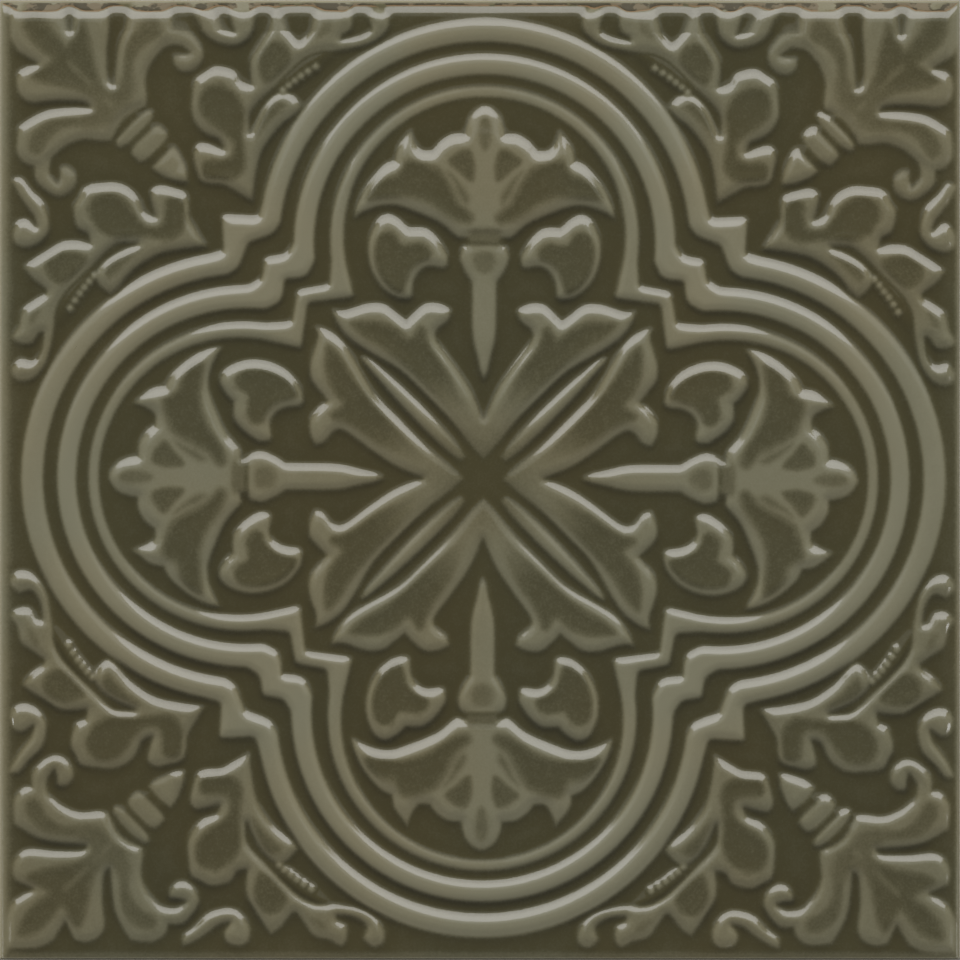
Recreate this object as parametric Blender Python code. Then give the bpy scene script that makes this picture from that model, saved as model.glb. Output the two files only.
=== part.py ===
# Pressed relief tile: one fired clay body, lying on its flat back, glazed relief upwards.
# The pattern repeats in every quarter turn and in the mirror across each diagonal, so an
# outline is given once, between the +X axis and the diagonal, in millimetres from the centre.

import math

import bmesh
import bpy
from mathutils import Matrix, Vector

MM = 0.001

TILE_SIDE = 150.0
FIELD_HEIGHT = 8.8        # flat back to the sunk ground between the ornaments
RELIEF_HEIGHT = 1.2       # ground to the crest of the ornament
EDGE_RADIUS = 1.2         # rolled-off top arris, outside every ornament
EDGE_SEGMENTS = 3
RELIEF_ROOT = 1.0         # how far the ornaments reach into the body below the ground
CURVE_STEPS = 2           # straight pieces between two points of a curved outline
ARC_STEPS = 7             # straight pieces of a moulding between the axis and its step

GLAZE_COLOUR = (0.185, 0.165, 0.092, 1.0)
GLAZE_ROUGHNESS = 0.22

TIP = True                # marks an outline point where the curve turns sharply

# Quatrefoil mouldings, from the outside in: centre of the round lobe on the axis, radius and
# end angle of its arc, then the stepped corner up to the diagonal, for the outer and inner edge.
MOULDINGS = (
    ((37.1, 35.35, 80.0, ((41.0, 35.6), (41.3, 41.3))),
     (36.8, 32.2, 84.0, ((38.3, 33.9), (37.1, 37.1)))),
    ((36.9, 30.0, 90.0, ((35.0, 31.3), (34.5, 34.5))),
     (37.1, 26.5, 96.0, ((31.6, 28.2), (31.3, 31.3)))),
    ((37.7, 24.3, 98.0, ((30.3, 24.4), (29.4, 29.4))),
     (38.2, 22.1, 105.0, ((28.6, 20.4), (27.6, 27.6)))),
)

# Halves of the ornaments that stand on the +X axis, from the centre outwards along +Y.
CENTRE_LEAF = (
    (3.0, 0.0, TIP), (9.0, 5.1), (14.5, 10.4), (19.9, 18.2), (26.5, 23.8, TIP), (26.2, 21.9),
    (27.4, 17.6), (24.6, 12.2, TIP), (27.4, 8.6), (26.4, 5.1, TIP), (22.6, 7.5), (14.0, 1.95),
    (9.6, 0.0, TIP),
)
STEM = (
    (15.5, 0.0, TIP), (19.0, 1.1), (23.0, 1.95), (30.0, 2.03), (33.0, 3.4), (35.2, 3.93),
    (36.9, 2.9), (37.0, 0.0),
)
PALMETTE = (
    (37.9, 0.0), (38.0, 4.0), (41.8, 10.7), (43.05, 15.0), (41.0, 20.5, TIP), (46.0, 18.7),
    (50.1, 14.2, TIP), (52.5, 13.6), (55.0, 11.6, TIP), (51.5, 9.4), (51.6, 8.2, TIP),
    (54.1, 5.3), (54.3, 3.3, TIP), (57.1, 2.1), (58.7, 0.0),
)

# Whole ornaments beside the +X axis.
SIDE_LEAF = (
    (28.45, 11.5), (28.7, 14.3), (32.4, 17.6), (37.2, 18.3), (41.5, 15.6), (39.3, 11.9, TIP),
    (39.3, 9.3), (34.8, 5.6), (33.4, 7.6), (32.6, 10.1),
)
SPRAY_LEAF = (
    (43.4, 36.3, TIP), (45.7, 40.0), (46.4, 44.1), (51.0, 45.8), (52.6, 44.3),
    (51.8, 41.15, TIP), (54.0, 43.6), (58.6, 46.2), (62.9, 45.6), (64.6, 42.0),
    (62.0, 36.8, TIP), (66.2, 36.8), (72.2, 33.0, TIP), (68.8, 28.9, TIP), (72.4, 26.2),
    (73.3, 23.7), (73.2, 21.3), (70.9, 20.9), (69.4, 22.8, TIP), (69.4, 20.1), (71.2, 18.0),
    (72.8, 18.8, TIP), (73.5, 17.0), (72.2, 15.0), (69.5, 16.4), (67.9, 20.3), (67.15, 25.0),
    (66.0, 28.4), (60.0, 34.7), (57.1, 36.8), (54.5, 36.8, TIP), (57.4, 35.6), (60.7, 32.7),
    (61.0, 31.0), (58.7, 28.9, TIP), (55.9, 31.5), (51.0, 35.05), (47.0, 35.9),
)
EDGE_HOOK = (
    (73.4, 46.7, TIP), (71.9, 46.0), (69.1, 43.1), (68.1, 39.8), (70.2, 36.5), (73.1, 36.4),
    (73.4, 39.8), (71.9, 40.4), (70.3, 39.4, TIP), (70.7, 41.0), (72.4, 43.4), (73.4, 45.4),
)

# Halves of the ornaments that stand on the diagonal, from the centre outwards.
DIAGONAL_BAR = (
    (3.1, 3.1), (4.2, 3.0), (10.0, 8.25), (15.95, 15.0), (19.15, 19.15, TIP),
)
COLLAR_BELL = ((46.5, 46.5, TIP), (49.8, 47.1), (52.3, 49.2, TIP), (50.75, 50.75))
COLLAR_RING = ((51.45, 51.45), (53.4, 49.55), (55.15, 50.05), (55.25, 51.85), (53.75, 53.75))
COLLAR_LENS = ((54.2, 54.2), (56.4, 51.9), (57.4, 51.9), (57.7, 53.1), (55.75, 55.75))
CORNER_LEAF = (
    (56.4, 56.4), (58.4, 53.0, TIP), (62.8, 53.15), (66.0, 51.9), (68.1, 48.9),
    (67.1, 46.4, TIP), (66.7, 48.4), (65.2, 48.9), (63.8, 46.9), (65.2, 44.6), (67.9, 44.4),
    (70.6, 46.7), (70.7, 48.9, TIP), (73.1, 50.0), (73.4, 52.6), (73.2, 55.0, TIP),
    (70.0, 56.9), (62.0, 58.4, TIP), (66.5, 59.2), (72.2, 59.3), (73.4, 61.4),
    (73.2, 63.8, TIP), (70.4, 65.1, TIP), (73.3, 67.0), (73.5, 73.5, TIP),
)


def clear_scene():
    for old in list(bpy.data.objects):
        bpy.data.objects.remove(old, do_unlink=True)


def glaze_material():
    glaze = bpy.data.materials.new("olive_glaze")
    glaze.use_nodes = True
    shader = glaze.node_tree.nodes["Principled BSDF"]
    shader.inputs["Base Color"].default_value = GLAZE_COLOUR
    shader.inputs["Roughness"].default_value = GLAZE_ROUGHNESS
    shader.inputs["Metallic"].default_value = 0.0
    return glaze


def mirrored(half, across_diagonal):
    # Closes a half outline with its mirror image; end points on the mirror line are kept once.
    def flip(point):
        x, y = (point[1], point[0]) if across_diagonal else (point[0], -point[1])
        return (x, y) + tuple(point[2:])

    def on_line(point):
        return abs(point[1] - (point[0] if across_diagonal else 0.0)) < 1e-6

    return list(half) + [flip(point) for point in reversed(half) if not on_line(point)]


def curved(outline, steps=CURVE_STEPS):
    # A smooth closed curve through the points, except at the tips, where it may turn sharply.
    count = len(outline)
    places = [Vector(point[:2]) for point in outline]
    slopes = []
    for i, point in enumerate(outline):
        is_tip = len(point) > 2
        slopes.append(Vector((0.0, 0.0)) if is_tip
                      else (places[(i + 1) % count] - places[i - 1]) / 2)
    curve = []
    for i in range(count):
        start, end = places[i], places[(i + 1) % count]
        leave, arrive = slopes[i], slopes[(i + 1) % count]
        for step in range(steps):
            t = step / steps
            curve.append(start * (2 * t**3 - 3 * t**2 + 1) + leave * (t**3 - 2 * t**2 + t)
                         + end * (3 * t**2 - 2 * t**3) + arrive * (t**3 - t**2))
    return curve


def moulding_edge(centre_x, radius, end_angle, corner):
    # One eighth of a moulding's edge: the lobe's arc from the axis, then its step to the diagonal.
    angles = [math.radians(end_angle) * i / ARC_STEPS for i in range(ARC_STEPS + 1)]
    arc = [(centre_x + radius * math.cos(a), radius * math.sin(a)) for a in angles]
    eighth = arc + list(corner)
    quarter = eighth + [(y, x) for x, y in reversed(eighth[1:-1])]
    edge = []
    for turn in range(4):
        spin = Matrix.Rotation(math.radians(90.0) * turn, 2)
        edge += [spin @ Vector(point) for point in quarter]
    return edge


def raise_faces(bm, faces):
    # Thickens flat faces into solids that stand from the root up to the crest of the relief.
    raised = bmesh.ops.extrude_face_region(bm, geom=faces)
    tops = [v for v in raised["geom"] if isinstance(v, bmesh.types.BMVert)]
    bmesh.ops.translate(bm, verts=tops, vec=(0.0, 0.0, (RELIEF_ROOT + RELIEF_HEIGHT) * MM))


def loop_at_root(bm, curve):
    root = FIELD_HEIGHT - RELIEF_ROOT
    return [bm.verts.new((point[0] * MM, point[1] * MM, root * MM)) for point in curve]


def add_ornament(bm, curve):
    # One ornament as a solid of its own; returns its geometry for mirroring and turning.
    known = set(bm.verts)
    face = bm.faces.new(loop_at_root(bm, curve))
    raise_faces(bm, [face])
    return [v for v in bm.verts if v not in known]


def geometry_of(verts):
    kept = set(verts)
    edges = {e for v in kept for e in v.link_edges}
    faces = {f for v in kept for f in v.link_faces}
    return list(kept) + list(edges) + list(faces)


def add_mirror_twin(bm, verts):
    # The same ornament on the other side of the +X axis.
    twin = bmesh.ops.duplicate(bm, geom=geometry_of(verts))["geom"]
    twin_verts = [g for g in twin if isinstance(g, bmesh.types.BMVert)]
    bmesh.ops.scale(bm, verts=twin_verts, vec=(1.0, -1.0, 1.0))
    return twin_verts


def add_quarter_turns(bm, verts):
    # The three other arms of the pattern.
    bmesh.ops.spin(bm, geom=geometry_of(verts), cent=(0.0, 0.0, 0.0), axis=(0.0, 0.0, 1.0),
                   angle=math.radians(270.0), steps=3, use_duplicate=True)


def add_axis_ornaments(bm):
    for half in (CENTRE_LEAF, STEM, PALMETTE):
        add_quarter_turns(bm, add_ornament(bm, curved(mirrored(half, False))))


def add_side_ornaments(bm):
    for outline in (SIDE_LEAF, SPRAY_LEAF, EDGE_HOOK):
        verts = add_ornament(bm, curved(outline))
        add_quarter_turns(bm, verts + add_mirror_twin(bm, verts))


def add_diagonal_ornaments(bm):
    for half in (DIAGONAL_BAR, COLLAR_BELL, COLLAR_RING, COLLAR_LENS, CORNER_LEAF):
        add_quarter_turns(bm, add_ornament(bm, curved(mirrored(half, True))))


def add_mouldings(bm):
    # The three nested quatrefoil bands, each a ring between two stepped edges.
    for outer, inner in MOULDINGS:
        outside = loop_at_root(bm, moulding_edge(*outer))
        inside = loop_at_root(bm, moulding_edge(*inner))
        count = len(outside)
        ring = [bm.faces.new((outside[i], outside[(i + 1) % count],
                              inside[(i + 1) % count], inside[i])) for i in range(count)]
        raise_faces(bm, ring)


def relief_guide():
    # Every ornament of the relief, as separate solids that the tile body takes in.
    bm = bmesh.new()
    add_axis_ornaments(bm)
    add_side_ornaments(bm)
    add_diagonal_ornaments(bm)
    add_mouldings(bm)
    bmesh.ops.recalc_face_normals(bm, faces=bm.faces)
    mesh = bpy.data.meshes.new("relief_guide")
    bm.to_mesh(mesh)
    bm.free()
    guide = bpy.data.objects.new("relief_guide", mesh)
    bpy.context.scene.collection.objects.link(guide)
    guide.hide_render = True
    guide.display_type = "WIRE"
    return guide


def tile_body():
    # The slab from its flat back up to the sunk ground, with its top arrises rolled off.
    bm = bmesh.new()
    bmesh.ops.create_cube(bm, size=1.0)
    bmesh.ops.scale(bm, verts=bm.verts, vec=(TILE_SIDE * MM, TILE_SIDE * MM, FIELD_HEIGHT * MM))
    bmesh.ops.translate(bm, verts=bm.verts, vec=(0.0, 0.0, FIELD_HEIGHT * MM / 2))
    top_edges = [e for e in bm.edges if all(v.co.z > FIELD_HEIGHT * MM / 2 for v in e.verts)]
    bmesh.ops.bevel(bm, geom=top_edges, affect="EDGES", offset=EDGE_RADIUS * MM,
                    segments=EDGE_SEGMENTS, profile=0.5, material=-1)
    mesh = bpy.data.meshes.new("relief_tile")
    bm.to_mesh(mesh)
    bm.free()
    tile = bpy.data.objects.new("relief_tile", mesh)
    bpy.context.scene.collection.objects.link(tile)
    return tile


def main():
    clear_scene()
    tile = tile_body()
    tile.data.materials.append(glaze_material())
    union = tile.modifiers.new("relief", "BOOLEAN")
    union.operation = "UNION"
    union.solver = "EXACT"
    union.object = relief_guide()


main()
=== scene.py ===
import math

import bmesh
import bpy
import numpy as np
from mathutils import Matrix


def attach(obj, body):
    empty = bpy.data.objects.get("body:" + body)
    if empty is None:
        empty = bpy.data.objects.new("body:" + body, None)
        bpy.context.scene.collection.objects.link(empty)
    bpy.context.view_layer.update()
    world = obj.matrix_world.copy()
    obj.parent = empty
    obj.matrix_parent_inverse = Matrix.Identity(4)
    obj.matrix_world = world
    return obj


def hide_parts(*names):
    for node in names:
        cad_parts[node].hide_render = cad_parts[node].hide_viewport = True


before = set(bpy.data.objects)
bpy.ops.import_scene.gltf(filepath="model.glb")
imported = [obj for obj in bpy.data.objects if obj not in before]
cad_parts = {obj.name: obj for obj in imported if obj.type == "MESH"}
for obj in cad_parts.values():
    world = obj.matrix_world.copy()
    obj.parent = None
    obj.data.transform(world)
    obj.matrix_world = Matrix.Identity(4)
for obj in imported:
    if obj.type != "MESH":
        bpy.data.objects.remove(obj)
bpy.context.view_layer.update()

mm = 0.001
tip = True                                   # an outline point where the curve turns sharply

# Pressed outlines, in millimetres from the pattern's centre, between the +X axis and the
# diagonal. They run along the middle of each slope. The rest of the tile mirrors them.
axisHalves = {                               # halves that stand on the +X axis
    "centreLeaf": [
        (3.0, 0.0, tip), (5.0, 1.9), (9.0, 5.1), (13.0, 9.0), (17.0, 13.2), (19.9, 18.2),
        (22.1, 21.5), (24.8, 23.3), (26.5, 23.8, tip), (26.2, 21.9), (27.3, 18.3), (27.2, 15.6),
        (25.8, 13.7), (24.6, 12.2, tip), (26.0, 10.9), (27.3, 9.2), (27.3, 7.0), (26.4, 5.1, tip),
        (24.9, 5.6), (23.4, 7.3), (21.7, 7.3), (18.0, 4.6), (14.0, 1.95), (9.6, 0.0, tip)],
    "stem": [
        (15.5, 0.0, tip), (17.0, 0.7), (19.0, 1.1), (23.0, 1.95), (30.0, 2.03), (31.0, 2.1),
        (32.2, 2.9), (34.0, 3.75), (35.2, 3.93), (36.8, 3.3), (37.0, 1.5), (37.0, 0.0)],
    "palmette": [
        (37.9, 0.0), (37.9, 3.0), (38.0, 4.3), (40.0, 6.7), (41.3, 9.3), (42.8, 13.2), (43.05, 15.0),
        (42.8, 16.7), (42.0, 18.8), (41.0, 20.5, tip), (43.0, 20.2), (46.0, 18.7), (49.0, 16.2),
        (50.1, 14.2, tip), (52.0, 13.85), (54.0, 12.4), (55.0, 11.6, tip), (53.0, 10.9), (51.6, 9.8),
        (51.6, 8.2, tip), (52.9, 7.2), (54.1, 5.3), (54.3, 3.3, tip), (55.5, 3.1), (57.1, 2.5),
        (58.3, 1.3), (58.8, 0.0)],
    "knobJoint": [(35.0, 0.0), (35.2, 2.8), (37.4, 3.1), (41.0, 2.6), (42.4, 0.0)],
}
wholeOutlines = {                            # whole ornaments between the axis and the diagonal
    "sideLeaf": [
        (28.45, 11.5), (28.2, 12.4), (28.7, 14.3), (30.3, 16.3), (32.4, 17.6), (34.8, 18.3),
        (37.2, 18.3), (39.5, 17.55), (41.0, 16.5), (41.5, 15.0), (40.6, 13.2), (39.3, 11.9, tip),
        (39.3, 9.3), (37.9, 7.4), (35.9, 6.0), (34.8, 5.6), (33.2, 6.1), (33.4, 8.6), (32.6, 10.1),
        (31.0, 11.0), (29.1, 11.2)],
    "spray": [
        (43.4, 36.3, tip), (45.0, 38.9), (46.1, 41.0), (46.25, 43.2), (46.9, 44.7), (49.1, 45.5),
        (51.0, 45.8), (52.4, 45.0), (52.4, 43.4), (51.8, 41.15, tip), (53.1, 41.7), (54.0, 43.6),
        (55.3, 45.1), (57.4, 46.1), (59.8, 46.1), (62.9, 45.6), (63.8, 44.1), (64.6, 42.2),
        (63.9, 39.3), (62.3, 38.2), (62.0, 36.8, tip), (64.1, 37.0), (66.2, 36.8), (68.1, 35.7),
        (70.2, 34.4), (72.2, 33.0, tip), (71.0, 31.3), (68.9, 29.6), (68.8, 28.9, tip), (70.3, 27.8),
        (72.4, 26.2), (73.0, 23.8), (74.0, 22.0), (73.0, 21.0), (70.9, 20.9), (69.8, 22.4),
        (69.15, 22.6, tip), (69.4, 20.1), (70.3, 18.4), (71.2, 18.0), (72.6, 18.6, tip),
        (74.1, 17.0), (73.3, 15.2), (71.0, 15.2), (69.1, 16.9), (68.1, 19.1), (67.3, 23.4),
        (67.1, 26.0), (66.0, 28.4), (64.0, 30.7), (61.0, 33.6), (59.0, 35.6), (57.1, 36.8),
        (54.5, 36.8, tip), (56.4, 36.0), (58.4, 35.0), (60.1, 33.6), (61.0, 32.0), (60.6, 30.5),
        (58.6, 28.6, tip), (57.2, 29.7), (55.9, 31.5), (54.05, 33.2), (51.0, 35.05), (47.1, 35.9)],
    "edgeHook": [
        (74.2, 46.7, tip), (72.6, 46.9), (71.0, 45.0), (69.1, 43.1), (68.3, 41.0), (68.2, 38.9),
        (69.3, 37.1), (71.2, 36.1), (73.1, 36.35), (74.0, 37.7), (73.5, 39.8), (71.9, 40.4),
        (70.3, 39.4, tip), (70.7, 41.0), (71.7, 42.4), (73.1, 44.45)],
    "beadJoint": [
        (54.8, 36.6), (57.1, 37.0), (59.3, 36.2), (61.8, 34.2), (64.6, 31.4), (66.8, 28.7),
        (68.0, 25.6), (67.6, 23.2), (65.6, 24.6), (63.7, 27.2), (61.6, 29.9), (60.6, 32.0),
        (59.2, 34.0), (57.2, 35.3)],
}
diagonalHalves = {                           # halves that stand on the diagonal
    "bell": [(46.5, 46.5, tip), (48.6, 46.7), (51.0, 47.7), (52.4, 48.8, tip), (50.75, 50.75)],
    "cornerLeaf": [
        (56.4, 56.4), (57.6, 54.6), (58.4, 53.0, tip), (60.0, 52.9), (62.8, 53.15), (65.2, 52.3),
        (66.7, 51.2), (67.8, 50.0), (68.1, 48.0), (67.0, 46.4, tip), (66.7, 47.55), (66.55, 48.85),
        (65.2, 48.9), (63.97, 47.7), (64.0, 46.0), (65.2, 44.6), (67.0, 44.1), (69.0, 45.05),
        (70.6, 46.7), (70.7, 48.9, tip), (72.2, 49.4), (73.4, 51.0), (73.5, 53.0),
        (73.2, 55.0, tip), (71.2, 56.3), (69.0, 57.4), (66.0, 58.0), (62.0, 58.3, tip),
        (63.0, 59.0), (67.0, 59.2), (71.0, 58.9), (72.9, 60.0), (73.6, 62.0), (73.2, 63.8, tip),
        (70.4, 65.15, tip), (72.2, 66.3), (73.6, 67.4), (74.6, 70.0), (74.6, 74.6, tip)],
}
diagonalBars = {                             # halves as (along the diagonal, aside from it)
    "bar": [(4.4, 0.0), (4.6, 0.6), (7.4, 1.1), (12.9, 1.24), (18.8, 1.1), (21.9, 0.9),
            (25.2, 0.68), (26.6, 0.4), (27.0, 0.0)],
    "ring": [(72.75, 0.0), (72.8, 2.0), (73.3, 3.1), (74.4, 3.3), (75.5, 3.1), (76.0, 2.0),
             (76.05, 0.0)],
    "lens": [(76.6, 0.0), (76.6, 1.5), (76.85, 3.2), (77.6, 3.95), (78.5, 3.4), (78.8, 1.5),
             (78.85, 0.0)],
    "collarJoint": [(70.6, 0.0), (70.8, 1.5), (73.0, 2.5), (77.5, 3.0), (80.4, 2.4), (80.8, 0.0)],
}
# Quatrefoil mouldings, outside in: centre of the lobe on the axis, radius and end angle of
# its arc, then the stepped corner up to the diagonal, for the outer and the inner edge.
mouldings = [
    ((37.1, 35.5, 80.0, [(41.0, 35.6), (41.3, 41.3)]),
     (36.8, 32.05, 84.0, [(38.6, 32.9), (38.0, 34.1), (37.0, 37.0)])),
    ((36.9, 30.05, 90.0, [(35.0, 31.3), (34.7, 33.0), (34.5, 34.5)]),
     (37.1, 26.6, 96.0, [(32.0, 27.6), (31.4, 29.0), (31.3, 31.3)])),
    ((37.7, 24.35, 98.0, [(30.3, 24.4), (29.4, 29.4)]),
     (38.2, 21.95, 105.0, [(28.5, 20.3), (27.6, 27.6)])),
]
beads = [(64.9, 26.6), (64.15, 27.8), (63.4, 28.9), (62.65, 29.85), (61.9, 30.8), (61.1, 31.7)]
beadRadius = 0.67

# Hollows modelled into the leaves, where the glaze settles deeper.
axisHollows = {
    "palmetteTip": [(51.6, 0.0), (52.4, 0.7), (54.6, 1.1), (56.6, 0.8), (57.2, 0.0)],
    "knob": [(32.2, 0.0), (32.8, 1.3), (34.2, 1.9), (35.6, 1.4), (36.0, 0.0)],
    "palmetteBase": [(37.2, 0.0), (37.2, 2.7), (39.2, 2.6), (39.6, 0.0)],
}
wholeHollows = {
    "centreLeaf": [
        (7.0, 2.4), (10.0, 4.6), (12.8, 7.4), (15.6, 10.3), (18.4, 13.3), (20.6, 16.2), (22.4, 19.2),
        (24.4, 21.0), (24.9, 19.0), (24.8, 16.2), (23.7, 13.6), (22.3, 12.0), (22.3, 11.3),
        (23.9, 10.2), (23.6, 9.2), (22.0, 8.8), (19.6, 7.5), (16.8, 5.5), (13.4, 3.7), (9.6, 2.0)],
    "sideLeaf": [
        (28.9, 12.9), (29.2, 14.4), (31.0, 16.0), (33.6, 17.1), (36.2, 17.3), (38.2, 16.7),
        (39.0, 15.3), (38.5, 14.0), (37.0, 13.0), (36.9, 11.8), (37.2, 10.3), (36.6, 8.9),
        (35.4, 8.3), (34.4, 8.8), (34.0, 10.0), (32.8, 11.4), (30.6, 12.2)],
    "palmetteMain": [
        (43.9, 18.3), (45.5, 18.3), (46.8, 17.0), (47.6, 15.3), (47.9, 13.9), (48.9, 13.2),
        (50.2, 12.4), (50.3, 11.3), (50.0, 10.0), (49.5, 8.5), (49.0, 7.3), (48.2, 6.6),
        (46.8, 5.7), (45.0, 4.8), (43.3, 3.9), (42.3, 2.6), (41.2, 1.7), (40.2, 2.4), (40.6, 4.4),
        (41.8, 6.4), (43.2, 8.5), (44.1, 11.0), (44.3, 13.3), (43.9, 16.0)],
    "palmetteVeinGap": [
        (43.3, 2.9), (44.8, 4.1), (46.8, 4.9), (48.5, 5.9), (47.6, 4.7), (46.0, 3.4), (44.4, 2.5)],
    "palmetteOuter": [
        (46.9, 1.8), (47.2, 2.9), (48.4, 4.1), (49.4, 5.5), (50.2, 5.8), (51.1, 4.9), (51.9, 3.6),
        (51.9, 2.4), (50.8, 1.8), (49.0, 1.5)],
    "sprayMain": [
        (47.0, 43.2), (47.6, 44.2), (49.2, 44.3), (50.1, 43.4), (50.1, 41.2), (50.9, 39.6),
        (53.0, 39.6), (54.5, 41.2), (55.8, 43.2), (57.5, 44.6), (59.8, 44.8), (61.5, 43.8),
        (62.0, 41.9), (61.2, 39.8), (59.8, 38.4), (57.4, 37.6), (54.4, 37.9), (51.6, 37.6),
        (48.9, 37.5), (47.3, 38.8), (46.8, 41.0)],
    "sprayUpper": [
        (62.2, 34.6), (64.2, 35.5), (66.3, 35.5), (67.9, 34.7), (68.9, 33.2), (68.3, 31.3),
        (66.5, 30.3), (65.0, 30.9), (63.2, 32.5)],
    "sprayTail": [(69.4, 26.4), (70.1, 26.6), (71.2, 25.0), (71.2, 24.1), (70.3, 24.5)],
    "underLeaf": [
        (53.6, 35.9), (56.4, 35.2), (58.7, 34.1), (59.5, 32.7), (58.8, 31.3), (57.6, 32.2),
        (55.9, 34.0)],
    "cornerCurl": [
        (62.6, 56.5), (65.6, 56.6), (68.2, 56.2), (70.0, 55.1), (71.3, 53.3), (71.4, 51.5),
        (70.0, 50.7), (69.0, 51.7), (68.1, 53.4), (66.2, 54.8), (63.8, 55.5)],
}
diagonalHollows = {
    "cornerBody": [
        (59.6, 59.6), (61.6, 60.0), (64.2, 61.0), (67.0, 61.5), (70.0, 62.2), (71.2, 63.0),
        (70.7, 64.0), (68.9, 64.9), (67.9, 65.8), (69.4, 66.9), (71.3, 68.7), (72.5, 70.9),
        (72.5, 72.5)],
    "cornerStem": [
        (57.6, 57.6), (58.4, 56.2), (60.2, 55.0), (62.6, 54.9), (64.4, 55.6), (63.0, 57.0),
        (61.4, 58.3), (61.4, 59.6), (62.6, 61.0), (62.6, 62.6)],
}
# The thinner glaze looks lighter: its share on the rims and in the hollows of each ornament.
rimTone = {"stem": 0.90, "centreLeaf": 0.87, "palmette": 0.91, "sideLeaf": 0.88, "spray": 0.80,
           "edgeHook": 0.84, "bar": 0.88, "bell": 0.86, "ring": 0.82, "lens": 0.82,
           "cornerLeaf": 0.80, "bead": 1.0, "outerBand": 0.99, "middleBand": 1.02, "innerBand": 0.95,
           "knobJoint": 0.0, "collarJoint": 0.0, "beadJoint": 0.0}
hollowTone = {"palmetteTip": 0.55, "knob": 0.58, "palmetteBase": 0.55, "centreLeaf": 0.30,
              "sideLeaf": 0.28, "palmetteMain": 0.28, "palmetteVeinGap": 0.44, "palmetteOuter": 0.36,
              "sprayMain": 0.26, "sprayUpper": 0.33, "sprayTail": 0.55, "underLeaf": 0.42,
              "cornerCurl": 0.42, "cornerBody": 0.32, "cornerStem": 0.48}
hollowBlur = {"palmetteMain": 1.6, "palmetteVeinGap": 1.5, "centreLeaf": 1.3, "cornerStem": 1.8,
              "cornerBody": 1.3, "sprayMain": 1.2}     # how softly a hollow starts
# How high each ornament stands above the ground, and how far inside its outline it gets there.
pressedHeight = {"stem": 0.90, "centreLeaf": 0.95, "palmette": 1.15, "sideLeaf": 1.05, "spray": 1.02,
                 "edgeHook": 1.0, "bar": 0.78, "bell": 1.06, "ring": 0.95, "lens": 1.08,
                 "cornerLeaf": 0.93, "bead": 0.88, "outerBand": 1.08, "middleBand": 0.96,
                 "innerBand": 0.86, "knobJoint": 0.80, "collarJoint": 0.70, "beadJoint": 0.74}
slopeIn = {"stem": 1.3, "centreLeaf": 1.5, "palmette": 1.85, "sideLeaf": 1.55, "spray": 1.5,
           "edgeHook": 1.4, "bar": 1.3, "bell": 1.4, "ring": 1.3, "lens": 1.3, "cornerLeaf": 1.45,
           "bead": 0.7, "outerBand": 1.52, "middleBand": 1.24, "innerBand": 1.2,
           "knobJoint": 1.3, "collarJoint": 1.3, "beadJoint": 2.2}
veins = [((58.5, 58.5), (65.2, 65.2), 0.45)]           # thin proud veins: from, to, half width


def mirrored(half, diagonal):
    # closes a half outline with its mirror image in the axis or the diagonal
    def flip(p):
        return ((p[1], p[0]) if diagonal else (p[0], -p[1])) + tuple(p[2:])

    def onLine(p):
        return abs(p[1] - (p[0] if diagonal else 0.0)) < 1e-6

    return list(half) + [flip(p) for p in reversed(half) if not onLine(p)]


def fromDiagonal(points):
    # (along the diagonal, aside from it) as plain x and y
    turn = math.sqrt(0.5)
    return [((p[0] + p[1]) * turn, (p[0] - p[1]) * turn) + tuple(p[2:]) for p in points]


def curved(outline, steps=5):
    # a smooth closed curve through the points, sharp at the tips
    places = np.array([p[:2] for p in outline], float)
    slopes = (np.roll(places, -1, 0) - np.roll(places, 1, 0)) / 2
    slopes[[i for i, p in enumerate(outline) if len(p) > 2]] = 0.0
    ends, arrivals = np.roll(places, -1, 0), np.roll(slopes, -1, 0)
    rows = []
    for t in np.arange(steps) / steps:
        rows.append(places * (2 * t**3 - 3 * t**2 + 1) + slopes * (t**3 - 2 * t**2 + t)
                    + ends * (3 * t**2 - 2 * t**3) + arrivals * (t**3 - t**2))
    return np.stack(rows, 1).reshape(-1, 2)


def softened(corners, radius=0.8):
    # the inner corners of an open line of points, each cut back to a short curve that takes
    # less than half of the sides beside it
    corners = [np.array(p) for p in corners]
    line = [corners[0]]
    for before, corner, after in zip(corners, corners[1:], corners[2:]):
        ways = [before - corner, after - corner]
        ends = [corner + w * min(radius / np.linalg.norm(w), 0.45) for w in ways]
        line += [ends[0] * (1 - t)**2 + corner * 2 * t * (1 - t) + ends[1] * t**2
                 for t in (0.0, 0.25, 0.5, 0.75, 1.0)]
    return line + [corners[-1]]


def mouldingEdge(centreX, radius, endAngle, corner, steps=40):
    # one closed edge of a quatrefoil: four lobes with a stepped corner between them
    angles = np.radians(endAngle) * np.arange(steps + 1) / steps
    arc = [(centreX + radius * math.cos(a), radius * math.sin(a)) for a in angles]
    middle = [arc[-2], arc[-1]] + corner
    middle = middle + [(y, x) for x, y in reversed(middle[:-1])]
    quarter = np.array(arc[:-2] + softened(middle) + [(y, x) for x, y in reversed(arc[1:-2])])
    edge = []
    for turn in range(4):
        edge.append(quarter)
        quarter = np.stack([-quarter[:, 1], quarter[:, 0]], 1)
    return np.vstack(edge)


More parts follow.
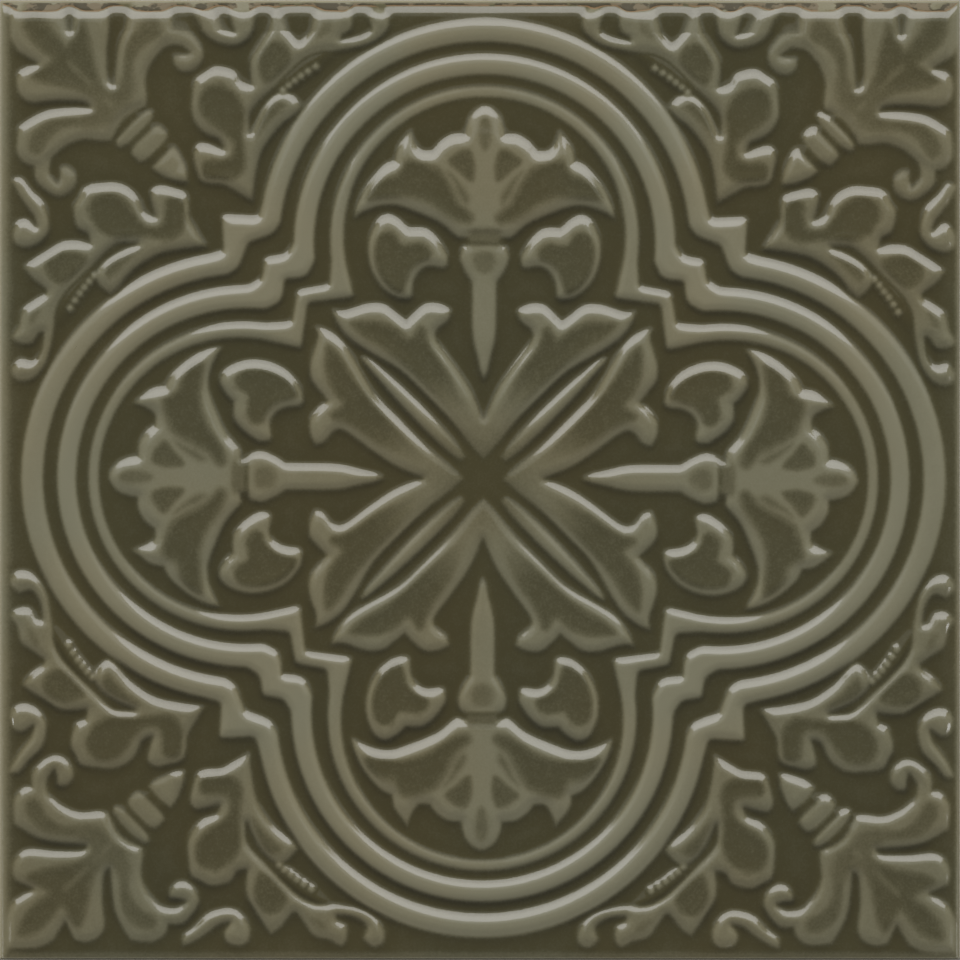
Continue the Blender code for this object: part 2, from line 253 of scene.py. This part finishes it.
def signedDistance(outline, x, y):
    # millimetres inside (+) or outside (-) a closed outline, cut off at the reach
    reach = pressing["reach"]
    found = np.full(x.shape, -reach)
    low, high = outline.min(0) - reach, outline.max(0) + reach
    near = (x > low[0]) & (x < high[0]) & (y > low[1]) & (y < high[1])
    px, py = x[near], y[near]
    best = np.full(px.shape, reach * reach)
    inside = np.zeros(px.shape, bool)
    for (ax, ay), (bx, by) in zip(outline, np.roll(outline, -1, 0)):
        dx, dy = bx - ax, by - ay
        along = np.clip(((px - ax) * dx + (py - ay) * dy) / max(dx * dx + dy * dy, 1e-9), 0, 1)
        best = np.minimum(best, (px - ax - along * dx)**2 + (py - ay - along * dy)**2)
        if ay != by:
            inside ^= ((ay > py) != (by > py)) & (px < dx * (py - ay) / dy + ax)
    found[near] = np.where(inside, np.sqrt(best), -np.sqrt(best))
    return found


def smooth(low, high, value):
    t = np.clip((value - low) / (high - low), 0.0, 1.0)
    return t * t * (3 - 2 * t)


patternGrid = {"reach": 77.0, "step": 0.125, "melt": 0.35}   # mm; melt rounds every edge


def melted(values, width):
    # rounds the map as the melting glaze does: a Gaussian, one axis after the other
    cells = width / patternGrid["step"]
    reach = int(3 * cells) + 1
    weights = np.exp(-0.5 * (np.arange(-reach, reach + 1) / cells)**2)
    weights /= weights.sum()
    for axis in range(2):
        wide = np.pad(values, [(reach, reach) if k == axis else (0, 0) for k in range(2)], "reflect")
        size = values.shape[axis]
        parts = [w * np.take(wide, np.arange(i, i + size), axis) for i, w in enumerate(weights)]
        values = np.sum(parts, 0)
    return values


def allOutlines():
    # name, closed curve of each ornament that reaches the eighth below the diagonal
    for name, half in axisHalves.items():
        yield name, curved(mirrored(half, False))
    for name, outline in wholeOutlines.items():
        yield name, curved(outline)
    for name, half in diagonalHalves.items():
        yield name, curved(mirrored(half, True))
    for name, half in diagonalBars.items():
        yield name, curved(mirrored(fromDiagonal(half), True))


def allHollows():
    for name, half in axisHollows.items():
        yield name, curved(mirrored(half, False))
    for name, outline in wholeHollows.items():
        yield name, curved(outline)
    for name, half in diagonalHollows.items():
        yield name, curved(mirrored(half, True))


pressing = {                                   # distances in millimetres
    "reach": 4.0,                              # how far outlines are felt
    "rimEdge": (-0.36, 0.53),                  # where the glaze thins towards a rim
    "bandEdge": (-1.2, -0.4),                  # where the foot of a moulding starts
    "centre": (2.0, 15.0),                     # the middle of the tile is pressed less, from, to
    "centreHeight": (0.45, 0.55), "centreTone": (0.70, 0.30),   # what stays there, what grows
    "inLeaf": (0.3, 1.1), "deepInLeaf": (1.3, 2.6),
    "hollowEdge": (-0.5, 0.65), "hollowSlope": (0.2, 1.8),
    "leafHollowStart": (8.0, 20.0),            # the centre leaves' hollows start this far out
    "veinTone": 0.6, "veinHeight": 0.5,
    "openGround": (1.0, 4.0),
    "poolingStart": (20.0, 27.0),
    "toneMelt": 0.4,
}


def quarterMaps():
    # over one quarter of the pattern: height, glaze tone, and where the mouldings are
    count = int(patternGrid["reach"] / patternGrid["step"]) + 1
    line = np.arange(count) * patternGrid["step"]
    x, y = np.meshgrid(line, line, indexing="ij")
    lower = x >= y                               # the eighth below the diagonal
    px, py = x[lower], y[lower]
    edge = np.full(px.shape, -pressing["reach"])
    height, tone = np.zeros(px.shape), np.zeros(px.shape)

    def press(name, inside):
        nonlocal edge, height, tone
        height = np.maximum(height, pressedHeight[name] * slopeHeight(inside, name))
        tone = np.maximum(tone, rimTone[name] * smooth(*pressing["rimEdge"], inside))
        edge = np.maximum(edge, inside)

    for name, outline in allOutlines():
        press(name, signedDistance(outline, px, py))
    for bx, by in beads:
        press("bead", beadRadius - np.hypot(px - bx, py - by))
    leaves, leafEdge, anyBand = height, edge.copy(), np.zeros(px.shape)
    for name, (outer, inner) in zip(("outerBand", "middleBand", "innerBand"), mouldings):
        band = np.minimum(signedDistance(mouldingEdge(*outer), px, py),
                          -signedDistance(mouldingEdge(*inner), px, py))
        press(name, band)
        innerBand = smooth(*pressing["bandEdge"], band)      # the last one is the inner one
        anyBand = np.maximum(anyBand, innerBand)
    middle = smooth(*pressing["centre"], np.hypot(px, py))
    stays, grows = pressing["centreHeight"]
    height = height * (stays + grows * middle)
    stays, grows = pressing["centreTone"]
    tone = tone * (stays + grows * middle)

    vein = np.zeros(px.shape)
    for (ax, ay), (bx, by), width in veins:
        dx, dy = bx - ax, by - ay
        along = np.clip(((px - ax) * dx + (py - ay) * dy) / (dx * dx + dy * dy), 0, 1)
        aside = np.hypot(px - ax - along * dx, py - ay - along * dy)
        vein = np.maximum(vein, np.exp(-(aside / width)**2))
    inLeaf, deepIn = smooth(*pressing["inLeaf"], leafEdge), smooth(*pressing["deepInLeaf"], leafEdge)
    sunk = np.zeros(px.shape)
    edgeLow, edgeHigh = pressing["hollowEdge"]
    for name, outline in allHollows():
        inside = signedDistance(outline, px, py)
        blur = hollowBlur.get(name, 1.0)
        share = smooth(edgeLow * blur, edgeHigh * blur, inside) * inLeaf
        share = share * (1 - pressing["veinTone"] * vein)
        if name == "centreLeaf":
            share = share * smooth(*pressing["leafHollowStart"], np.hypot(px, py))
        tone = tone + share * (hollowTone[name] - tone)
        depth = (1 - hollowTone[name]) * smooth(*pressing["hollowSlope"], inside) * deepIn
        sunk = np.maximum(sunk, depth * (1 - pressing["veinHeight"] * vein))
    height = height - tileShape["hollowDepth"] * sunk
    tone = tone + tileShape["openTone"] * smooth(*pressing["openGround"], -edge)

    def whole(values):
        # the eighth and its mirror image
        full = np.zeros(x.shape)
        full[lower] = values
        full[~lower] = full.T[~lower]
        return full

    # the glaze pools in the notches of the leaves
    spread, share, sunkBy = tileShape["pooling"]
    outside = smooth(*pressing["poolingStart"], np.hypot(px, py))
    pooled = share * melted(whole(leaves * outside), spread) - sunkBy
    relief = np.maximum(whole(height), pooled)
    return [melted(values, patternGrid["melt"] * melt) for values, melt in
            ((relief, 1.0), (whole(tone), pressing["toneMelt"]), (whole(innerBand), 1.0),
             (whole(anyBand), 1.0))]


tileShape = {
    "side": 150.0,                             # mm
    "ground": 8.8,                             # from the flat back to the sunk ground
    "slopeOut": 0.48,                          # a slope starts this far outside an outline
    "footRound": 0.15, "shoulderRound": 0.3,   # shares of the slope that are rounded
    "hollowDepth": 0.20,
    "pooling": (1.0, 0.9, 0.24),               # how wide, how full and how low it pools
    "openTone": 0.19,                          # the glaze is a little thinner on open ground
    # what is pressed less high, as a share of its height: the inner moulding round the lobes,
    # collars on the left, curls above, mouldings at the sides and the top, palmettes' points
    "flatLobes": 0.44, "flatCollars": 0.45, "flatCurls": 0.40,
    "flatSides": 0.42, "flatTop": 0.30, "flatTips": 0.22,
    "lift": 0.17,                              # the middle is a little fuller above than below
    # the face rolls down at the left, right and lower edges: radius of the roll, where it
    # starts, width of the bevel below it and the bevel's slope
    "otherRolls": (1.7, 1.4, 0.50, 1.30),
    "fade": (0.5, 2.3),                        # the relief sinks towards them, between these
    "fadeEase": 0.12,
    "topBevel": (1.70, 0.97, 1.1),             # the upper bevel: where it starts, slope, rounding
    "topStretch": 0.60,                        # how much slower the relief runs on over it
    "arris": 0.2,
    "patternX": 0.54, "patternY": 0.19,        # pressed a little off centre
    "patternTurn": -0.29,                      # degrees
    "patternWide": 0.9957, "patternTall": 0.9886,
    "gridCells": 740, "triangles": 190000,
    "keepTone": 0.5, "keepSteep": 1.2,         # how much tone and steepness keep triangles
    "wallTop": 6.0, "chamfer": 0.5,            # on the sides, above the back
    "wallNormals": 0.3,                        # this near the edge the mesh's own normals stay
}
# Where the forms above change, in millimetres from the middle: from, to.
changes = {
    "stretchUp": (0, 20), "stretchAside": (14, 24),
    "lobesUp": (46, 56), "lobesAside": (39, 47),
    "collar": (5.5, 7.5), "curl": (3.5, 5.0),
    "pointStart": (53.5, 56.5), "pointEnd": (61.0, 62.5), "pointAside": (3.0, 4.5),
    "leftward": (10, -10), "upward": (0, 10),
    "sides": (52, 61), "top": (46, 57), "middle": (27, 35),
}
collarPlace = 52.5                             # on the diagonal
curlPlace = (66.2, 47.0)
stretchPlace = 70.5                            # the relief is stretched from here up
liftSpan = 18                                  # the lift grows over this distance


def quarterPlace(x, y):
    # a place on the tile as one in the first quarter of the pattern
    turn = math.radians(-tileShape["patternTurn"])
    dx, dy = x - tileShape["patternX"], y - tileShape["patternY"]
    u = np.abs(dx * math.cos(turn) - dy * math.sin(turn)) / tileShape["patternWide"]
    v = np.abs(dx * math.sin(turn) + dy * math.cos(turn)) / tileShape["patternTall"]
    return u, v


def readMap(values, u, v):
    # bilinear reading of a quarter map
    last = values.shape[0] - 2
    a, b = u / patternGrid["step"], v / patternGrid["step"]
    i, j = np.minimum(a.astype(int), last), np.minimum(b.astype(int), last)
    s, t = a - i, b - j
    return ((values[i, j] * (1 - s) + values[i + 1, j] * s) * (1 - t)
            + (values[i, j + 1] * (1 - s) + values[i + 1, j + 1] * s) * t)


def slopeHeight(edge, name):
    # a straight slope with a rounded foot and shoulder, from 0 to 1
    a, b = tileShape["footRound"], tileShape["shoulderRound"]
    t = (edge + tileShape["slopeOut"]) / (tileShape["slopeOut"] + slopeIn[name])
    t = np.clip(t, 0.0, 1.0)
    rise = np.where(t < a, t * t / (2 * a), t - a / 2)
    rise = np.where(t > 1 - b, rise - (t - 1 + b)**2 / (2 * b), rise)
    return rise / (1 - a / 2 - b / 2)


def edgeDrop(side, radius, start, bevel, slope):
    # how far the face has rolled down at this distance from its edge; the roll stops just
    # short of its own radius, where it would be upright
    into = np.clip(start - np.maximum(side, bevel), 0, 0.98 * radius)
    return radius - np.sqrt(radius**2 - into**2) + slope * np.maximum(bevel - side, 0)


def sinking(side, low, high):
    # share of the relief's height that is left at this distance from an edge
    t = np.clip((side - low) / (high - low), 0, 1)
    return t + tileShape["fadeEase"] * np.sin(2 * np.pi * (t - 0.5)) / np.pi


def flattened(height, maps, u, v, x, y):
    # the relief's height after what stands less high in some places, and the middle's lift
    innerBand, anyBand = (readMap(values, u, v) for values in maps)
    long, short = np.maximum(u, v), np.minimum(u, v)

    def change(name, value):
        return smooth(*changes[name], value)

    lobes = np.maximum(change("lobesUp", np.abs(y)), change("lobesAside", np.abs(x)))
    height = height * (1 - tileShape["flatLobes"] * innerBand * lobes)
    collar = 1 - change("collar", np.hypot(u - collarPlace, v - collarPlace))
    height = height * (1 - tileShape["flatCollars"] * collar * change("leftward", x))
    curl = 1 - change("curl", np.hypot(long - curlPlace[0], short - curlPlace[1]))
    height = height * (1 - tileShape["flatCurls"] * curl * change("upward", y))
    height = height * (1 - tileShape["flatSides"] * anyBand * change("sides", np.abs(x)))
    height = height * (1 - tileShape["flatTop"] * anyBand * change("top", y))
    point = change("pointStart", long) * (1 - change("pointAside", short))
    point = point * (1 - change("pointEnd", long))
    height = height * (1 - tileShape["flatTips"] * point)
    middle = 1 - change("middle", np.hypot(x, y))
    return height * (1 + tileShape["lift"] * middle * np.clip(y / liftSpan, -1, 1))


def surface(maps, x, y):
    # height of the glazed face in millimetres, the tone of its glaze, and the upper bevel's share
    u, v = quarterPlace(x, y)
    # the relief runs on over the upper bevel, except at the lobe
    stretch = tileShape["topStretch"] * smooth(*changes["stretchUp"], y)
    stretch = stretch * smooth(*changes["stretchAside"], np.abs(x))
    v = v - stretch * np.maximum(v - stretchPlace, 0)
    height, tone = (readMap(values, u, v) for values in maps[:2])
    half = tileShape["side"] / 2
    side = half - np.maximum(np.abs(x), np.abs(y))
    others = half - np.maximum(np.abs(x), -y)
    height = height * sinking(others, *tileShape["fade"])
    height = flattened(height, maps[2:], u, v, x, y)
    height = height - edgeDrop(others, *tileShape["otherRolls"])
    start, slope, rounding = tileShape["topBevel"]
    plane = slope * (half - y - start)
    bevel = np.clip(0.5 - 0.5 * (plane - height) / rounding, 0, 1)
    height = plane * bevel + height * (1 - bevel) - rounding * bevel * (1 - bevel)
    arris = tileShape["arris"]
    corner = np.clip(arris - side, 0, 0.95 * arris)
    height = height - (arris - np.sqrt(arris**2 - corner**2))
    return tileShape["ground"] + height, tone, bevel


def faceNormals(maps, x, y, step=0.12):
    # from the face's height a step to each side
    hx = surface(maps, x + step, y)[0] - surface(maps, x - step, y)[0]
    hy = surface(maps, x, y + step)[0] - surface(maps, x, y - step)[0]
    normals = np.stack([-hx, -hy, np.full(x.shape, 2 * step)], 1)
    return normals / np.linalg.norm(normals, axis=1)[:, None]


def thinned(mesh, triangles):
    # the same surface with fewer triangles where it is flat
    piece = bpy.data.objects.new("thinning", mesh)
    bpy.context.scene.collection.objects.link(piece)
    fewer = piece.modifiers.new("fewer", "DECIMATE")
    fewer.ratio = triangles / (2 * len(mesh.polygons))
    view = bpy.context.evaluated_depsgraph_get()
    result = bpy.data.meshes.new_from_object(piece.evaluated_get(view))
    bpy.data.objects.remove(piece)
    bpy.data.meshes.remove(mesh)
    return result


def meshPlaces(mesh):
    # where the vertices are, in millimetres
    places = np.empty(len(mesh.vertices) * 3)
    mesh.vertices.foreach_get("co", places)
    return places.reshape(-1, 3) / mm


def moveMesh(mesh, places):
    mesh.vertices.foreach_set("co", (places * mm).ravel())
    mesh.update()


def pressedFace(maps):
    # the glazed face: a fine grid raised by the relief, then thinned
    bm = bmesh.new()
    cells = tileShape["gridCells"]
    bmesh.ops.create_grid(bm, x_segments=cells, y_segments=cells, size=tileShape["side"] / 2 * mm)
    mesh = bpy.data.meshes.new("pressedFace")
    bm.to_mesh(mesh)
    bm.free()
    places = meshPlaces(mesh)
    x, y = places[:, 0], places[:, 1]
    height, tone, _ = surface(maps, x, y)
    steep = np.hypot(*faceNormals(maps, x, y)[:, :2].T)
    # raised further while it is thinned, which keeps triangles where these change
    places[:, 2] = height + tileShape["keepTone"] * tone + tileShape["keepSteep"] * steep
    moveMesh(mesh, places)
    mesh = thinned(mesh, tileShape["triangles"])
    places = meshPlaces(mesh)
    places[:, 2] = surface(maps, places[:, 0], places[:, 1])[0]
    moveMesh(mesh, places)
    return mesh


def closeBody(mesh):
    # side walls down from the arris, a small chamfer at the foot and the flat back
    bm = bmesh.new()
    bm.from_mesh(mesh)
    half, chamfer = tileShape["side"] / 2, tileShape["chamfer"]
    # level, inset and material: the glaze runs down to the top of the walls
    steps = ((tileShape["wallTop"], 0.0, 0), (chamfer, 0.0, 1), (0.0, chamfer, 1))
    for level, inset, material in steps:
        rim = [e for e in bm.edges if e.is_boundary]
        made = bmesh.ops.extrude_edge_only(bm, edges=rim)["geom"]
        share = 1 - inset / half
        for v in (g for g in made if isinstance(g, bmesh.types.BMVert)):
            v.co.x, v.co.y, v.co.z = v.co.x * share, v.co.y * share, level * mm
        for f in (g for g in made if isinstance(g, bmesh.types.BMFace)):
            f.material_index = material
    rim = [e for e in bm.edges if e.is_boundary]
    for f in bmesh.ops.contextual_create(bm, geom=rim)["faces"]:
        f.material_index = 1
    bmesh.ops.recalc_face_normals(bm, faces=bm.faces)
    bm.to_mesh(mesh)
    bm.free()


def dressMesh(mesh, maps):
    # true normals of the relief, and the values that the glaze reads
    places = meshPlaces(mesh)
    x, y = places[:, 0], places[:, 1]
    for polygon in mesh.polygons:
        polygon.use_smooth = True
    normals = np.array([v.normal for v in mesh.vertices])
    _, tone, bevel = surface(maps, x, y)
    inner = np.maximum(np.abs(x), np.abs(y)) < tileShape["side"] / 2 - tileShape["wallNormals"]
    onFace = inner & (places[:, 2] > tileShape["wallTop"])
    normals[onFace] = faceNormals(maps, x[onFace], y[onFace])
    corners = np.empty(len(mesh.loops), np.int32)
    mesh.loops.foreach_get("vertex_index", corners)
    normals = normals[corners]
    for polygon in mesh.polygons:
        if polygon.material_index == 1:          # the clay's faces are flat
            start = polygon.loop_start
            normals[start:start + polygon.loop_total] = polygon.normal
    mesh.normals_split_custom_set(normals.tolist())
    for name, values in (("tone", tone), ("bevel", bevel)):
        layer = mesh.attributes.new(name, "FLOAT", "POINT")
        layer.data.foreach_set("value", values.astype(np.float32))


class Value:
    # wraps a socket, so that shader maths reads as plain expressions
    def __init__(self, graph, socket):
        self.graph, self.socket = graph, socket

    def math(self, operation, *others):
        return self.graph.math(operation, self, *others)

    def __add__(self, other):
        return self.math("ADD", other)

    def __radd__(self, other):
        return self.math("ADD", other)

    def __sub__(self, other):
        return self.math("SUBTRACT", other)

    def __rsub__(self, other):
        return self.graph.math("SUBTRACT", other, self)

    def __mul__(self, other):
        return self.math("MULTIPLY", other)

    def __rmul__(self, other):
        return self.math("MULTIPLY", other)


class Graph:
    # one material's nodes
    def __init__(self, name):
        self.material = bpy.data.materials.new(name)
        self.material.use_nodes = True
        self.tree = self.material.node_tree
        self.shader = self.tree.nodes["Principled BSDF"]

    def node(self, kind, settings=None, values=None):
        made = self.tree.nodes.new(kind)
        for name, value in (settings or {}).items():
            setattr(made, name, value)
        for key, value in (values or {}).items():
            self.feed(made.inputs[key], value)
        return made

    def feed(self, socket, value):
        if isinstance(value, Value):
            self.tree.links.new(value.socket, socket)
        else:
            socket.default_value = value

    def out(self, made, key=0):
        return Value(self, made.outputs[key])

    def math(self, operation, *values):
        made = self.node("ShaderNodeMath", {"operation": operation})
        for socket, value in zip(made.inputs, values):
            self.feed(socket, value)
        return self.out(made)

    def between(self, low, high, value):
        made = self.node("ShaderNodeMapRange", {"interpolation_type": "SMOOTHSTEP"},
                         {"Value": value, "From Min": low, "From Max": high})
        return self.out(made)

    def linear(self, low, high, value):
        return self.out(self.node("ShaderNodeMapRange", None,
                                  {"Value": value, "From Min": low, "From Max": high}))

    def mix(self, share, first, second, blend="MIX"):
        made = self.node("ShaderNodeMix", {"data_type": "RGBA", "blend_type": blend},
                         {0: share, 6: first, 7: second})
        return self.out(made, 2)

    def attribute(self, name):
        return self.out(self.node("ShaderNodeAttribute", {"attribute_name": name}), "Fac")

    def noise(self, coords, scale, detail=2.0):
        made = self.node("ShaderNodeTexNoise", None,
                         {"Vector": coords, "Scale": scale, "Detail": detail})
        return self.out(made, 0)

    def finish(self, inputs):
        for name, value in inputs.items():
            self.feed(self.shader.inputs[name], value)
        return self.material


glaze = {
    # tone of the glaze from deep to thin, with its colour
    "tones": [(0.0, (0.0820, 0.0755, 0.0330, 1.0)), (0.30, (0.0985, 0.0936, 0.0495, 1.0)),
              (0.60, (0.150, 0.1430, 0.0855, 1.0)), (0.85, (0.214, 0.2065, 0.133, 1.0)),
              (1.02, (0.265, 0.2565, 0.173, 1.0))],
    "arris": (0.34, 0.31, 0.175, 1.0),         # worn thin at the tile's arris
    "paintedBottomShadow": (0.040, 0.035, 0.025, 1.0),        # painted shadow: a dark strip along the lower edge, where the tile's edge casts shade
    "rust": (0.30, 0.17, 0.085, 1.0),          # where it breaks over the upper edge
    "crawled": (0.045, 0.038, 0.022, 1.0),     # dark and tan patches where it crawled beside it
    "tan": (0.150, 0.122, 0.078, 1.0),
    "brownish": (1.02, 0.998, 0.97, 1.0), "greenish": (0.975, 1.002, 1.03, 1.0),
    # thinner glaze at each edge, fully at the top; at the right, left and lower edges it is also
    # painted light that lifts the rolled edges' shade: how much, and between which millimetres
    "thinTop": (0.15, 0.9), "thinAndLitRight": (0.8, 0.3, 1.3),
    "thinAndLitLeft": (1.25, 0.2, 2.6), "thinAndLitBottom": (0.75, 0.7, 1.9),
    "thinAndLitTone": 0.90, "thinAndLitShare": 0.8,
    "edgeTone": 0.20, "edgeWidth": (1.2, 5.0),     # and a little thinner near the edges
    "mottle": 0.50, "cloudMottle": 0.6, "cloud": 0.10, "cloudBevel": 0.10, "grainTone": 1.15,
    # patches along the upper edge: how much of it, where on the bevel, how strong
    "crawl": (0.39, 0.44), "crawlTop": (0.38, 0.55), "patchBevel": (0.83, 0.89), "patch": 0.92,
    "tanShare": (0.47, 0.56),
    "rimBevel": (0.79, 0.84, 0.85, 0.90), "rim": 0.65,
    "wornWidth": (0.10, 0.40), "wornRight": 4.0,   # the right arris is worn narrower
    # the painted shadow along the lower edge: over which millimetres it fades, and how dark it is
    "bottomShadowWidth": (0.16, 0.42), "bottomShadowShare": 0.90,
    "drift": (0.35, 0.65),
    # noise scales, to the metre
    "fineScale": 2600.0, "cloudScale": 700.0, "broadScale": 60.0, "crawlScale": 230.0,
    "driftScale": 45.0, "tanScale": 480.0,
    "roughness": 0.14, "ior": 1.70,
}


def oliveGlaze():
    g = Graph("oliveGlaze")
    coords = g.out(g.node("ShaderNodeTexCoord"), "Object")
    tone = g.attribute("tone")
    split = g.node("ShaderNodeSeparateXYZ", None, {0: coords})
    x, y = g.out(split, 0), g.out(split, 1)
    half = tileShape["side"] / 2 * mm
    left, right, top, bottom = x + half, half - x, half - y, half + y

    def overWidth(name, distance):
        # from 0 to 1 over a width given in millimetres
        low, high = glaze[name][-2:]
        return g.between(low * mm, high * mm, distance)

    fine = g.noise(coords, glaze["fineScale"], 2.0) - 0.5
    cloud = g.noise(coords, glaze["cloudScale"], 3.0) - 0.5
    broad = g.noise(coords, glaze["broadScale"], 3.0) - 0.5
    # the glaze is lighter towards the edges: thinner glaze, and at the left, right and lower edges
    # also painted light that offsets the shade on their roll
    thinnerAndLit = 1 - overWidth("thinTop", top)
    for name, distance in (("thinAndLitRight", right), ("thinAndLitLeft", left), ("thinAndLitBottom", bottom)):
        share = glaze[name][0]
        thinnerAndLit = thinnerAndLit.math("MAXIMUM", share - share * overWidth(name, distance))
    tone = tone + thinnerAndLit * glaze["thinAndLitShare"] * (glaze["thinAndLitTone"] - tone)
    side = left.math("MINIMUM", right).math("MINIMUM", top)
    tone = tone + (1 - overWidth("edgeWidth", side)) * glaze["edgeTone"] * (1 - tone)
    grain = fine * glaze["mottle"] + cloud * glaze["mottle"] * glaze["cloudMottle"]
    tone = tone + grain * (glaze["grainTone"] - tone) + broad * glaze["cloud"]
    start, colour = glaze["tones"][0]
    for end, thinnerColour in glaze["tones"][1:]:
        colour = g.mix(g.linear(start, end, tone), colour, thinnerColour)
        start = end
    drift = g.between(*glaze["drift"], g.noise(coords, glaze["driftScale"], 1.0))
    tint = g.mix(drift, glaze["brownish"], glaze["greenish"])
    colour = g.mix(1.0, colour, tint, "MULTIPLY")

    # patches with a rusty rim where the glaze crawled along the upper edge
    bevel = g.attribute("bevel") + cloud * glaze["cloudBevel"]
    crawl = g.between(*glaze["crawl"], g.noise(coords, glaze["crawlScale"], 3.0))
    crawl = crawl * overWidth("crawlTop", top)
    patch = crawl * g.between(*glaze["patchBevel"], bevel)
    tanShare = g.between(*glaze["tanShare"], g.noise(coords, glaze["tanScale"], 3.0))
    crawled = g.mix(tanShare, glaze["crawled"], glaze["tan"])
    colour = g.mix(patch * glaze["patch"], colour, crawled)
    rise, riseEnd, fall, fallEnd = glaze["rimBevel"]
    rim = g.between(rise, riseEnd, bevel) * (1 - g.between(fall, fallEnd, bevel))
    colour = g.mix(rim * crawl * glaze["rim"], colour, glaze["rust"])

    worn = left.math("MINIMUM", top).math("MINIMUM", right * glaze["wornRight"])
    colour = g.mix(1 - overWidth("wornWidth", worn), colour, glaze["arris"])
    # painted shadow: the lower edge darkened as if the tile cast shade there
    share = glaze["bottomShadowShare"]
    colour = g.mix(share - share * overWidth("bottomShadowWidth", bottom), colour, glaze["paintedBottomShadow"])
    return g.finish({"Base Color": colour, "Roughness": glaze["roughness"], "IOR": glaze["ior"]})


clay = {
    "colour": (0.56, 0.46, 0.34, 1.0), "darker": (0.46, 0.36, 0.25, 1.0),
    "grainScale": 900.0, "bump": 0.3, "bumpDepth": 0.0002,      # metres
    "roughness": 0.85,
}


def firedClay():
    g = Graph("firedClay")
    coords = g.out(g.node("ShaderNodeTexCoord"), "Object")
    grain = g.noise(coords, clay["grainScale"], 4.0)
    colour = g.mix(grain, clay["colour"], clay["darker"])
    bump = g.node("ShaderNodeBump", None,
                  {"Height": grain, "Strength": clay["bump"], "Distance": clay["bumpDepth"]})
    return g.finish({"Base Color": colour, "Roughness": clay["roughness"], "Normal": g.out(bump)})


def buildTile():
    maps = quarterMaps()
    print("pattern pressed")
    mesh = pressedFace(maps)
    print("face thinned to", len(mesh.polygons))
    closeBody(mesh)
    dressMesh(mesh, maps)
    mesh.name = "glazedTile"
    tile = bpy.data.objects.new("glazedTile", mesh)
    bpy.context.scene.collection.objects.link(tile)
    tile.data.materials.append(oliveGlaze())
    tile.data.materials.append(firedClay())
    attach(tile, "root")
    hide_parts("relief_tile")
    print("tile built:", len(mesh.polygons), "faces")


studio = {
    "floor": (0.62, 0.61, 0.59, 1.0), "floorRoughness": 0.8, "floorReach": 2.0,    # m
    "sky": 0.20,
    # softboxes: compass angle, degrees from straight up to the near and far edge, length,
    # radiance and colour
    "boxes": [(-1, 42.0, 79.0, 2.8, 3.3, (1.0, 0.982, 0.87)),
              (-1, 18.0, 40.0, 3.0, 0.30, (0.9, 0.98, 1.0)),
              (132, 78.0, 87.0, 2.2, 5.5, (1.0, 0.985, 0.89)),
              (228, 78.0, 87.0, 2.2, 5.5, (1.0, 0.985, 0.89))],
    "boxDistance": 1.5,                      # m
    "cameraHeight": 1.0,                     # m above the ground of the relief
    "framed": 149.85,                        # mm across the picture there
    "cameraX": 0.02, "cameraY": -0.02,       # mm
    "sensor": 36.0,
}


def softbox(compass, near, far, length, radiance, colour):
    # a rectangular lamp that faces the tile
    near, far, compass = math.radians(near), math.radians(far), math.radians(compass)
    aim, distance = (near + far) / 2, studio["boxDistance"]
    depth = 2 * distance * math.tan((far - near) / 2)
    lamp = bpy.data.lights.new("softbox", "AREA")
    lamp.shape = "RECTANGLE"
    lamp.size, lamp.size_y = length, depth
    lamp.color = colour
    lamp.energy = radiance * math.pi * length * depth
    box = bpy.data.objects.new("softbox", lamp)
    reach = distance * math.sin(aim)
    box.location = (reach * math.sin(compass), reach * math.cos(compass), distance * math.cos(aim))
    box.rotation_euler = (-aim, 0.0, -compass)
    bpy.context.scene.collection.objects.link(box)


def setStudio():
    bm = bmesh.new()
    bmesh.ops.create_grid(bm, x_segments=1, y_segments=1, size=studio["floorReach"])
    mesh = bpy.data.meshes.new("paleFloor")
    bm.to_mesh(mesh)
    bm.free()
    floor = bpy.data.objects.new("paleFloor", mesh)
    bpy.context.scene.collection.objects.link(floor)
    g = Graph("paleFloor")
    mesh.materials.append(g.finish({"Base Color": studio["floor"],
                                    "Roughness": studio["floorRoughness"]}))

    for box in studio["boxes"]:
        softbox(*box)

    world = bpy.data.worlds.new("sky")
    world.use_nodes = True
    background = world.node_tree.nodes["Background"]
    background.inputs["Color"].default_value = (1.0, 1.0, 1.0, 1.0)
    background.inputs["Strength"].default_value = studio["sky"]
    bpy.context.scene.world = world

    lens = bpy.data.cameras.new("copyCamera")
    lens.sensor_width = studio["sensor"]
    lens.lens = lens.sensor_width * studio["cameraHeight"] / (studio["framed"] * mm)
    camera = bpy.data.objects.new("copyCamera", lens)
    top = tileShape["ground"] * mm
    camera.location = (studio["cameraX"] * mm, studio["cameraY"] * mm, top + studio["cameraHeight"])
    bpy.context.scene.collection.objects.link(camera)
    bpy.context.scene.camera = camera
    print("studio set")


setStudio()
buildTile()
